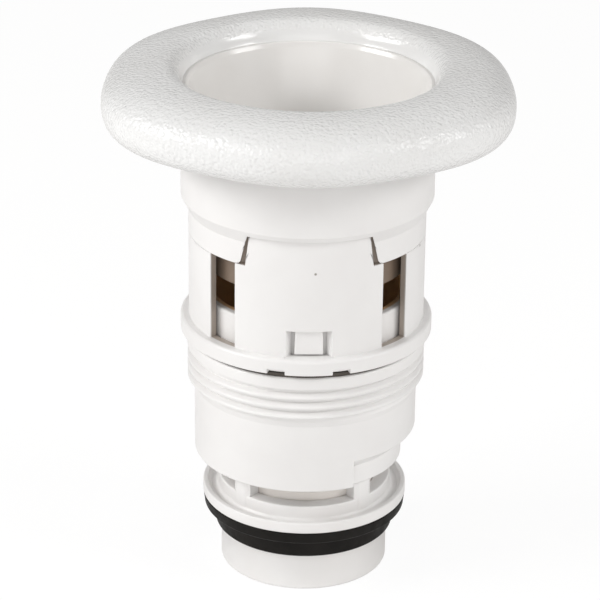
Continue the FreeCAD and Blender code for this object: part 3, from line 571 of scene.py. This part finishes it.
# Threaded body: one white moulding with a plain band, a coarse male thread that runs out into the
# wall, a shoulder on the right and, from the front to the left, a skirt that hangs over the cage.
BODY_R = 33.8
BODY_TOP = 76.0
BODY_STEP_LOW = 59.2
BODY_STEP_TOP = 61.0
BORE_FLOOR = 48.6
SEAT_R = 27.3
BAND_LOW = 71.6
THREAD_R = 36.0
THREAD_ROOT_R = 34.4
THREAD_PITCH = 3.1
THREAD_LOW = 61.6
THREAD_TURNS = 3.4
NECK_LOW = 36.4
SHOULDER_LOW = 42.6
SHOULDER_TOP = 46.4
SKIRT_LOW = 37.6
SKIRT_WALL = 2.8
SKIRT_START = -155.0
SKIRT_SWEEP = 182.9
BORE_R = 31.05
moulded_white = moulded_plastic("moulded_white", (0.83, 0.82, 0.81), (0.79, 0.775, 0.765), 0.33, 0.25)
wall = lathe("body_wall", rounded([
    (CAGE_COLLAR_R + 0.1, NECK_LOW, 0),
    (CAGE_COLLAR_R + 0.7, NECK_LOW, 0.5),
    (CAGE_COLLAR_R + 0.7, SHOULDER_LOW, 0.4),
    (BODY_R, SHOULDER_TOP, 0.6),
    (BODY_R, BODY_STEP_LOW, 0.4),
    (THREAD_ROOT_R, BODY_STEP_TOP, 0.4),
    (THREAD_ROOT_R, BAND_LOW, 0.3),
    (THREAD_R, BAND_LOW + 0.6, 0.5),
    (THREAD_R, BODY_TOP, 0.7),
    (BORE_R, BODY_TOP, 0.3),
    (BORE_R, BORE_FLOOR, 0),
    (SEAT_R, BORE_FLOOR, 0),
    (SEAT_R, CAGE_TOP + 0.05, 0),
    (CAGE_COLLAR_R + 0.1, CAGE_TOP + 0.05, 0),
]))
skirt = lathe("body_skirt", rounded([
    (BODY_R - SKIRT_WALL, SKIRT_LOW, 0.3),
    (BODY_R, SKIRT_LOW, 0.5),
    (BODY_R, SHOULDER_TOP + 2, 0),
    (BODY_R - SKIRT_WALL, SHOULDER_TOP + 2, 0),
]), start=SKIRT_START, sweep=SKIRT_SWEEP, steps=160)


def thread_maker():
    """Node tree for a thread: a ridge profile swept up a helix that dips into the wall at both ends."""
    tree = bpy.data.node_groups.new("male_thread", "GeometryNodeTree")
    face = tree.interface
    face.new_socket("Geometry", in_out="INPUT", socket_type="NodeSocketGeometry")
    sockets = {}
    for name, value in (("Radius", 34.0 * MM), ("Pitch", THREAD_PITCH * MM), ("Turns", THREAD_TURNS),
                        ("Dip", 2.2 * MM), ("Start Angle", 0.0)):
        sockets[name] = face.new_socket(name, in_out="INPUT", socket_type="NodeSocketFloat")
        sockets[name].default_value = value
    sockets["Material"] = face.new_socket("Material", in_out="INPUT", socket_type="NodeSocketMaterial")
    face.new_socket("Geometry", in_out="OUTPUT", socket_type="NodeSocketGeometry")
    link = tree.links.new

    def maths(operation, *values):
        node = tree.nodes.new("ShaderNodeMath")
        node.operation = operation
        for place, value in enumerate(values):
            if isinstance(value, (int, float)):
                node.inputs[place].default_value = value
            else:
                link(value, node.inputs[place])
        return node.outputs[0]

    given = tree.nodes.new("NodeGroupInput")
    helix = tree.nodes.new("GeometryNodeCurvePrimitiveLine")
    smooth = tree.nodes.new("GeometryNodeResampleCurve")
    smooth.inputs["Count"].default_value = 720
    along = tree.nodes.new("GeometryNodeSplineParameter").outputs["Factor"]
    turn = maths("ADD", maths("MULTIPLY", maths("MULTIPLY", along, given.outputs["Turns"]), math.tau),
                 maths("RADIANS", given.outputs["Start Angle"]))
    rise = maths("MULTIPLY", maths("MULTIPLY", along, given.outputs["Turns"]), given.outputs["Pitch"])
    from_end = maths("MINIMUM", along, maths("SUBTRACT", 1.0, along))
    fade = tree.nodes.new("ShaderNodeMapRange")
    fade.interpolation_type = "SMOOTHSTEP"
    fade.inputs["From Max"].default_value = 0.07
    fade.inputs["To Min"].default_value = 1.0
    fade.inputs["To Max"].default_value = 0.0
    link(from_end, fade.inputs["Value"])
    sink = maths("MULTIPLY", fade.outputs[0], given.outputs["Dip"])
    reach = maths("SUBTRACT", given.outputs["Radius"], sink)
    spot = tree.nodes.new("ShaderNodeCombineXYZ")
    link(maths("MULTIPLY", reach, maths("SINE", turn)), spot.inputs["X"])
    link(maths("MULTIPLY", maths("MULTIPLY", reach, maths("COSINE", turn)), -1.0), spot.inputs["Y"])
    link(rise, spot.inputs["Z"])
    wind = tree.nodes.new("GeometryNodeSetPosition")
    upright = tree.nodes.new("GeometryNodeSetCurveNormal")
    upright.mode = "Z_UP"
    sweep = tree.nodes.new("GeometryNodeCurveToMesh")
    sweep.inputs["Fill Caps"].default_value = True
    ridge = tree.nodes.new("GeometryNodeMeshToCurve")
    solid = tree.nodes.new("GeometryNodeRealizeInstances")
    dress = tree.nodes.new("GeometryNodeSetMaterial")
    result = tree.nodes.new("NodeGroupOutput")
    link(helix.outputs[0], smooth.inputs[0])
    link(smooth.outputs[0], wind.inputs["Geometry"])
    link(spot.outputs[0], wind.inputs["Position"])
    link(wind.outputs[0], upright.inputs[0])
    link(upright.outputs[0], sweep.inputs["Curve"])
    link(given.outputs["Geometry"], ridge.inputs[0])
    link(ridge.outputs[0], sweep.inputs["Profile Curve"])
    link(sweep.outputs[0], solid.inputs[0])
    link(solid.outputs[0], dress.inputs["Geometry"])
    link(given.outputs["Material"], dress.inputs["Material"])
    link(dress.outputs[0], result.inputs[0])
    return tree, sockets


def thread(name, profile, radius, turns, start_angle, material):
    """A swept ridge from its profile of (outwards, upwards) points, in millimetres."""
    mesh = bpy.data.meshes.new(name)
    mesh.from_pydata([(x * MM, y * MM, 0) for x, y in profile],
                     [(i, (i + 1) % len(profile)) for i in range(len(profile))], [])
    piece = bpy.data.objects.new(name, mesh)
    scene.collection.objects.link(piece)
    tree, sockets = thread_maker()
    maker = piece.modifiers.new("thread", "NODES")
    maker.node_group = tree
    for label, value in (("Radius", radius * MM), ("Turns", turns), ("Start Angle", start_angle),
                         ("Material", material)):
        maker[sockets[label].identifier] = value
    return settle(piece)


ridge_profile = [(-1.2, -1.3), (0.2, -1.15), (1.35, -0.35), (1.55, -0.05),
                 (1.55, 0.45), (1.35, 0.7), (0.2, 1.2), (-1.2, 1.3)]
ridges = thread("body_thread", ridge_profile, THREAD_ROOT_R, THREAD_TURNS, 150.0, moulded_white)
ridges.data.transform(Matrix.Translation((0, 0, THREAD_LOW * MM)))
body = turn_piece(join("threaded_body_moulding", [wall, soften(skirt, 0.25), ridges]), LOWER_TURN)
finish_piece(body, moulded_white, "lower", "threaded_body", slot="moulded_white")


# Valve sleeve: unpolished tube that stands in the body behind the barrel's windows. Its four ports
# are open to the dark inside. Its wall above the ports and its inner face carry painted shade.
SLEEVE_R = 31.0
SLEEVE_WALL = 2.2
SLEEVE_LOW = 48.65
SLEEVE_TOP = 109.65
PORT_LOW = 91.5
PORT_TOP = 100.2
PORT_ANGLE = 60.0
BAND_R = 32.3
BAND_FOOT = 80.9
SLEEVE_TOP_PAINTED_SHADE = (0.22, 0.165, 0.125)
SLEEVE_INSIDE_PAINTED_SHADE = (0.55, 0.33, 0.16)
sleeve = lathe("valve_sleeve_moulding", rounded([
    (SLEEVE_R - SLEEVE_WALL, SLEEVE_LOW, 0),
    (SLEEVE_R, SLEEVE_LOW, 0),
    (SLEEVE_R, BAND_FOOT, 0),
    (BAND_R, BAND_FOOT, 0.3),
    (BAND_R, PORT_LOW, 1.0),
    (SLEEVE_R, PORT_LOW, 0),
    (SLEEVE_R, SLEEVE_TOP, 0.5),
    (SLEEVE_R - SLEEVE_WALL, SLEEVE_TOP, 0.3),
]), pitch=2.5)
ports = [lathe("port_cutter", rounded([
    (SLEEVE_R - 6, PORT_LOW, 0), (SLEEVE_R + 4, PORT_LOW, 0),
    (SLEEVE_R + 4, PORT_TOP, 0), (SLEEVE_R - 6, PORT_TOP, 0),
]), start=45 + 90 * quarter - PORT_ANGLE / 2, sweep=PORT_ANGLE, steps=24) for quarter in range(4)]
soften(carve(sleeve, ports), 0.35)
turn_piece(sleeve, LOWER_TURN)
sleeve_white_painted_shade = moulded_plastic("sleeve_white_painted_shade", (0.83, 0.82, 0.81), (0.79, 0.77, 0.75), 0.38, 0.3)
tree = sleeve_white_painted_shade.node_tree
reach, apart = from_axis(tree, tree.nodes["Texture Coordinate"].outputs["Object"])
# Painted shade: from just below the ports' heads up to its top, the sleeve is darkened to deep brown
# where the barrel's wall and the collar shade it.
top_painted_shade = ramp(tree, apart.outputs["Z"], 0.0, 1.0, 98.0 * MM, 99.5 * MM)
tinted(sleeve_white_painted_shade, SLEEVE_TOP_PAINTED_SHADE, top_painted_shade)
# Painted shade: the sleeve's inner face is tinted warm brown to stand for the dark inside seen through
# the ports.
inside_painted_shade = ramp(tree, reach, 1.0, 0.0, 30.0 * MM, 30.8 * MM)
tinted(sleeve_white_painted_shade, SLEEVE_INSIDE_PAINTED_SHADE, inside_painted_shade)
finish_piece(sleeve, sleeve_white_painted_shade, "lower", "valve_sleeve", slot="inner_white")


# Flow barrel: glossy white moulding that turns on the sleeve. Four tall windows let the water out,
# two latch windows hold spring fingers, and its foot ring has small notches underneath.
FACE_TURN = 1.5
BARREL_R = 35.5
BARREL_WALL = 2.3
RING_R = 38.0
RING_LOW = 77.7
RING_TOP = 82.6
RING_NOTCH_HIGH = 1.5
RING_NOTCH_AT = 14.8
RING_NOTCH_ANGLE = 8.1
WINDOW_WIDE = 10.2
WINDOW_AT = 46.0
WINDOW_TOP = 112.6
LATCH_WIDE = 13.9
LATCH_DEEP_WIDE = 10.6
LATCH_TOP = 90.8
FINGER_WIDE = 8.5
RECESS_R = 33.8
RECESS_LOW = 109.6
KEY_TOP = 120.4
KEY_HALF_TOP = 17.2
KEY_HALF_LOW = 18.8
BARREL_TOP = 124.8
BARREL_SPECKS = [((0.0026, -0.0353, 0.1092), 0.0005), ((0.0333, -0.0122, 0.1090), 0.0005)]


def prism(name, plan, near, far, turn=0.0):
    """A block from its upright outline of (x, z) points, reaching outwards from near to far."""
    bm = bmesh.new()
    faces = []
    for depth in (near, far):
        faces.append([bm.verts.new(Vector((x, -depth, z)) * MM) for x, z in plan])
        bm.faces.new(faces[-1])
    for index in range(len(plan)):
        after = (index + 1) % len(plan)
        bm.faces.new((faces[0][index], faces[0][after], faces[1][after], faces[1][index]))
    return turn_piece(new_piece(name, bm), turn)


def rectangle(half, low, high):
    return [(-half, low), (half, low), (half, high), (-half, high)]


barrel = lathe("barrel_wall", rounded([
    (SLEEVE_R + 0.35, RING_LOW, 0.3),
    (RING_R, RING_LOW, 0.45),
    (RING_R, RING_TOP, 1.0),
    (BARREL_R, RING_TOP, 0.3),
    (BARREL_R, KEY_TOP, 0.2),
    (RECESS_R, KEY_TOP, 0),
    (RECESS_R, BARREL_TOP, 0.3),
    (BARREL_R - 4.0, BARREL_TOP, 0.3),
    (BARREL_R - 4.0, 114.0, 0),
    (BARREL_R - BARREL_WALL, 111.0, 0),
    (BARREL_R - BARREL_WALL, RING_TOP, 0),
    (SLEEVE_R + 0.35, RING_TOP - 1.7, 0),
]), pitch=1.5)
cuts = [prism("window_cutter", rectangle(WINDOW_WIDE / 2, RING_TOP, WINDOW_TOP), 25, 45, at)
        for at in (-WINDOW_AT, WINDOW_AT, 180 - WINDOW_AT, 180 + WINDOW_AT)]
half, deep = LATCH_WIDE / 2, LATCH_DEEP_WIDE / 2
for at in (0, 180):
    latch_plan = [
        (-half, -40), (half, -40), (half, -BARREL_R + 0.3), (deep, -BARREL_R + BARREL_WALL + 0.4),
        (deep, -29), (-deep, -29), (-deep, -BARREL_R + BARREL_WALL + 0.4), (-half, -BARREL_R + 0.3),
    ]
    cuts.append(turn_piece(upright_bar("latch_cutter", latch_plan, RING_TOP, LATCH_TOP), at))
    for side in (-RING_NOTCH_AT, RING_NOTCH_AT):
        cuts.append(lathe("notch_cutter", rounded([
            (BARREL_R, RING_LOW - 1, 0), (RING_R + 1, RING_LOW - 1, 0),
            (RING_R + 1, RING_LOW + RING_NOTCH_HIGH, 0), (BARREL_R, RING_LOW + RING_NOTCH_HIGH, 0),
        ]), start=at + side - RING_NOTCH_ANGLE / 2, sweep=RING_NOTCH_ANGLE, steps=8))
key_plan = [(-KEY_HALF_LOW, RECESS_LOW - 1), (KEY_HALF_LOW, RECESS_LOW - 1),
            (KEY_HALF_TOP, KEY_TOP + 2), (-KEY_HALF_TOP, KEY_TOP + 2)]
keys = [prism("key_outline", key_plan, 20, 45, at) for at in (0, 180)]
cuts.append(carve(lathe("recess_cutter", rounded([
    (RECESS_R, RECESS_LOW, 0), (RING_R, RECESS_LOW, 0),
    (RING_R, KEY_TOP + 1, 0), (RECESS_R, KEY_TOP + 1, 0),
])), keys))
carve(barrel, cuts)
soften(barrel, 0.2)
fingers = []
for at in (0, 180):
    finger_plan = [(-FINGER_WIDE / 2 + 0.2, LATCH_TOP + 1), (-FINGER_WIDE / 2, RING_TOP + 0.5),
                   (FINGER_WIDE / 2, RING_TOP + 0.5), (FINGER_WIDE / 2 - 0.2, LATCH_TOP + 1)]
    fingers.append(soften(prism("finger", finger_plan, 32.4, 34.3), 0.3))
    turn_piece(fingers[-1], at)
barrel = turn_piece(join("flow_barrel_moulding", [barrel, *fingers]), FACE_TURN)
barrel_white_painted_shade = moulded_plastic("barrel_white_painted_shade", (0.83, 0.82, 0.81), (0.79, 0.775, 0.765), 0.33, 0.25,
                               BARREL_SPECKS)
tree = barrel_white_painted_shade.node_tree
reach, apart = from_axis(tree, tree.nodes["Texture Coordinate"].outputs["Object"])
# Painted shade: faces inside the outer wall and away from the latch windows are darkened to grey-brown.
# These are the window side walls, the recess floor beside the keys and the bore.
aside = tree.nodes.new("ShaderNodeMath")
aside.operation = "ABSOLUTE"
tree.links.new(apart.outputs["X"], aside.inputs[0])
cut_faces_painted_shade = tree.nodes.new("ShaderNodeMath")
cut_faces_painted_shade.operation = "MULTIPLY"
tree.links.new(ramp(tree, reach, 1.0, 0.0, 34.9 * MM, 35.3 * MM), cut_faces_painted_shade.inputs[0])
tree.links.new(ramp(tree, aside.outputs[0], 0.0, 1.0, 11.0 * MM, 13.0 * MM), cut_faces_painted_shade.inputs[1])
tinted(barrel_white_painted_shade, (0.40, 0.345, 0.30), cut_faces_painted_shade.outputs[0])
finish_piece(barrel, barrel_white_painted_shade, "face", "flow_barrel", slot="moulded_white")


# Slip ring: dark washer in the gap between barrel and thread.
SLIP_IN_R = 31.4
SLIP_R = 35.2
SLIP_HIGH = 1.2
slip = lathe("slip_ring_washer", rounded([
    (SLIP_IN_R, BODY_TOP, 0.1),
    (SLIP_R, BODY_TOP, 0.2),
    (SLIP_R, BODY_TOP + SLIP_HIGH, 0.2),
    (SLIP_IN_R, BODY_TOP + SLIP_HIGH, 0.1),
]), steps=128)
washer_dark = moulded_plastic("washer_dark", (0.06, 0.05, 0.042), (0.10, 0.085, 0.07), 0.5, 0.3)
finish_piece(slip, washer_dark, "lower", "slip_ring", slot="washer_dark")


# Snap collar: white moulding over the barrel's top. Front and back it is cut up between slanting
# edges, and the tabs that are left between the cuts reach down over the windows' heads.
COLLAR_LOW = 109.7
COLLAR_CONE_LOW = 117.0
COLLAR_CONE_TOP = 121.2
COLLAR_R = 37.8
COLLAR_LOW_R = 35.55
COLLAR_TOP = 144.1
NOTCH_TOP = 119.6
NOTCH_HALF_TOP = 18.1
NOTCH_HALF_LOW = 20.2
TAB_CORNER = 1.6
collar = lathe("collar_wall", rounded([
    (RECESS_R + 0.1, COLLAR_LOW, 0.2),
    (COLLAR_LOW_R, COLLAR_LOW, 0.15),
    (COLLAR_LOW_R, COLLAR_CONE_LOW, 0.6),
    (COLLAR_R, COLLAR_CONE_TOP, 0.6),
    (COLLAR_R, COLLAR_TOP, 0.3),
    (36.9, COLLAR_TOP, 0),
    (36.9, COLLAR_TOP + 3, 0),
    (35.7, COLLAR_TOP + 3, 0),
    (35.7, BARREL_TOP + 6, 0),
    (RECESS_R + 0.1, BARREL_TOP + 2.4, 0),
]), pitch=1.5)
flank = []
for step in range(7):
    share = step / 6
    bend = (1 - share) ** 2
    half = NOTCH_HALF_LOW + TAB_CORNER * bend - 0.3 * share ** 2
    flank.append((half, COLLAR_LOW + TAB_CORNER * share ** 2))
flank = [(NOTCH_HALF_LOW + TAB_CORNER, COLLAR_LOW - 2), *flank, (NOTCH_HALF_TOP, NOTCH_TOP)]
notch_plan = flank + [(-x, z) for x, z in reversed(flank)]
cuts = [prism("notch_cutter", notch_plan, 20, 45, at) for at in (0, 180)]
carve(collar, cuts)
soften(collar, 0.12)
turn_piece(collar, FACE_TURN)
finish_piece(collar, moulded_white, "face", "snap_collar", slot="moulded_white")


# Face ring: heavy white moulding like a lobed doughnut, hollow underneath. Its outside has a
# pebble grain, and a smooth glossy lip runs round the mouth.
FACE_SECTION_R = 43.0
FACE_SECTION_HIGH = 152.2
FACE_OUT = 18.35
FACE_IN = 6.1
FACE_UP = 9.2
FACE_DOWN = 10.0
FACE_POWER_UP = 2.3
FACE_POWER_DOWN = 2.6
FACE_LOBE = 0.9
FACE_WALL = 3.0
FACE_FOOT_ANGLE = -65.5
FACE_HOLLOW_ANGLE = -66.0
FACE_LIP_HIGH = 155.8
MOUTH_R = 36.9
HUB_R = 39.7


def bulge(angle, out, up, down, inwards):
    """A point on the rounded section, at an angle from its outer side over its top to its inner side."""
    turn = math.radians(angle)
    power = 2 / (FACE_POWER_UP if angle > 0 else FACE_POWER_DOWN)
    wide = abs(math.cos(turn)) ** power * (out if math.cos(turn) > 0 else -inwards)
    high = abs(math.sin(turn)) ** power * (up if angle > 0 else -down)
    return FACE_SECTION_R + wide, FACE_SECTION_HIGH + high


def lobes(angle):
    turn = math.radians(angle)
    return FACE_LOBE * (math.cos(6 * turn) - math.cos(3 * turn))


section = []
for step in range(65):
    angle = FACE_FOOT_ANGLE + (157.0 - FACE_FOOT_ANGLE) * step / 64
    section.append(bulge(angle, FACE_OUT, FACE_UP, FACE_DOWN, FACE_IN))
section.append((MOUTH_R + 0.05, FACE_LIP_HIGH - 0.3))
section.append((MOUTH_R + 0.4, FACE_LIP_HIGH - 0.6))
section.append((MOUTH_R + 0.4, COLLAR_TOP + 0.1))
section.append((HUB_R, COLLAR_TOP + 0.1))
for step in range(25):
    angle = 122.0 + (FACE_HOLLOW_ANGLE - 122.0) * step / 24
    section.append(bulge(angle, FACE_OUT - FACE_WALL, FACE_UP - FACE_WALL, FACE_DOWN - FACE_WALL,
                         FACE_IN - 2.4))
section.append((section[-1][0], section[0][1] + 0.2))
FACE_STEPS = 320
bm = bmesh.new()
columns = []
for step in range(FACE_STEPS):
    angle = 360.0 * step / FACE_STEPS
    column = []
    for radius, height in section:
        share = min(max((radius - MOUTH_R - 2) / (FACE_SECTION_R + 9 - MOUTH_R - 2), 0.0), 1.0)
        column.append(bm.verts.new(around_axis(radius + share * lobes(angle), angle, height)))
    columns.append(column)
for index, here in enumerate(columns):
    after = columns[(index + 1) % FACE_STEPS]
    for row in range(len(section)):
        on = (row + 1) % len(section)
        bm.faces.new((here[row], after[row], after[on], here[on]))
face_ring = new_piece("face_ring_moulding", bm)
face_ring.data.set_sharp_from_angle(angle=math.radians(50))

face_white = bpy.data.materials.new("face_white")
face_white.use_nodes = True
tree = face_white.node_tree
link = tree.links.new
skin = tree.nodes["Principled BSDF"]
place = tree.nodes.new("ShaderNodeTexCoord").outputs["Object"]
reach, apart = from_axis(tree, place)
grained = ramp(tree, reach, 0.0, 1.0, 38.1 * MM, 38.6 * MM)
pebbles = tree.nodes.new("ShaderNodeTexVoronoi")
pebbles.feature = "SMOOTH_F1"
pebbles.inputs["Scale"].default_value = 1050.0
pebbles.inputs["Smoothness"].default_value = 0.5
link(place, pebbles.inputs["Vector"])
rough = noise(tree, place, 900.0, 1.0)
blend = tree.nodes.new("ShaderNodeMath")
blend.operation = "MULTIPLY_ADD"
link(pebbles.outputs["Distance"], blend.inputs[0])
blend.inputs[1].default_value = -0.8
link(rough, blend.inputs[2])
lift = tree.nodes.new("ShaderNodeMath")
lift.operation = "MULTIPLY"
link(blend.outputs[0], lift.inputs[0])
link(grained, lift.inputs[1])
bump = tree.nodes.new("ShaderNodeBump")
bump.inputs["Strength"].default_value = 1.0
bump.inputs["Distance"].default_value = 0.00030
link(lift.outputs[0], bump.inputs["Height"])
link(bump.outputs["Normal"], skin.inputs["Normal"])
tint = tree.nodes.new("ShaderNodeMix")
tint.data_type = "RGBA"
tint.inputs["A"].default_value = (0.83, 0.83, 0.825, 1)
tint.inputs["B"].default_value = (0.79, 0.785, 0.775, 1)
link(ramp(tree, noise(tree, place, 30.0), 0.0, 1.0, 0.35, 0.75), tint.inputs["Factor"])
link(tint.outputs["Result"], skin.inputs["Base Color"])
link(ramp(tree, grained, 0.15, 0.25), skin.inputs["Roughness"])
skin.inputs["IOR"].default_value = PLASTIC_IOR
finish_piece(face_ring, face_white, "face", "face_ring", slot="face_white")


# Throat liner: smooth glossy cone from the lip down to the nozzle's seat, with a fine parting line
# where it meets the face ring.
LINER_TOP = 155.7
LINER_FOOT = 118.95
LINER_TOP_R = 35.7
LINER_LOW_R = 24.4
LINER_RING_R = 37.05
liner = lathe("throat_liner_moulding", rounded([
    (LINER_LOW_R, LINER_FOOT, 0),
    (31.45, LINER_FOOT, 0),
    (31.45, LINER_FOOT + 2.2, 0),
    (LINER_LOW_R + 2.6, LINER_FOOT + 2.2, 0),
    (LINER_TOP_R - 0.2, COLLAR_TOP + 3.1, 0),
    (LINER_RING_R, COLLAR_TOP + 3.1, 0),
    (LINER_RING_R, LINER_TOP, 0.05),
    (LINER_TOP_R + 0.4, LINER_TOP, 0.5),
    (LINER_TOP_R - 0.3, LINER_TOP - 1.4, 1.0),
    (LINER_LOW_R, LINER_FOOT + 2.2, 0.3),
], 6))
throat_white = moulded_plastic("throat_white", (0.82, 0.805, 0.785), (0.79, 0.77, 0.745), 0.2, 0.12)
finish_piece(liner, throat_white, "face", "throat_liner", slot="throat_white")


# Nozzle and what holds it: small polished and plain pieces deep in the throat and inside the barrel.
ball_white = moulded_plastic("ball_white", (0.80, 0.80, 0.80), (0.77, 0.77, 0.765), 0.22, 0.1)
PLAIN_PIECES = {
    "seat_carrier": inner_white, "seat_retainer": inner_white, "venturi_ring": inner_white,
    "axle_bead_ring": inner_white, "carrier_o_ring": seal_black, "cage_o_ring": seal_black,
    "sleeve_o_ring": seal_black, "swivel_washer": washer_dark, "swivel_ring": ball_white,
    "eyeball": ball_white, "nozzle_tip": ball_white,
}
for name, material in PLAIN_PIECES.items():
    nodes[name].data.materials.clear()
    nodes[name].data.materials.append(material)
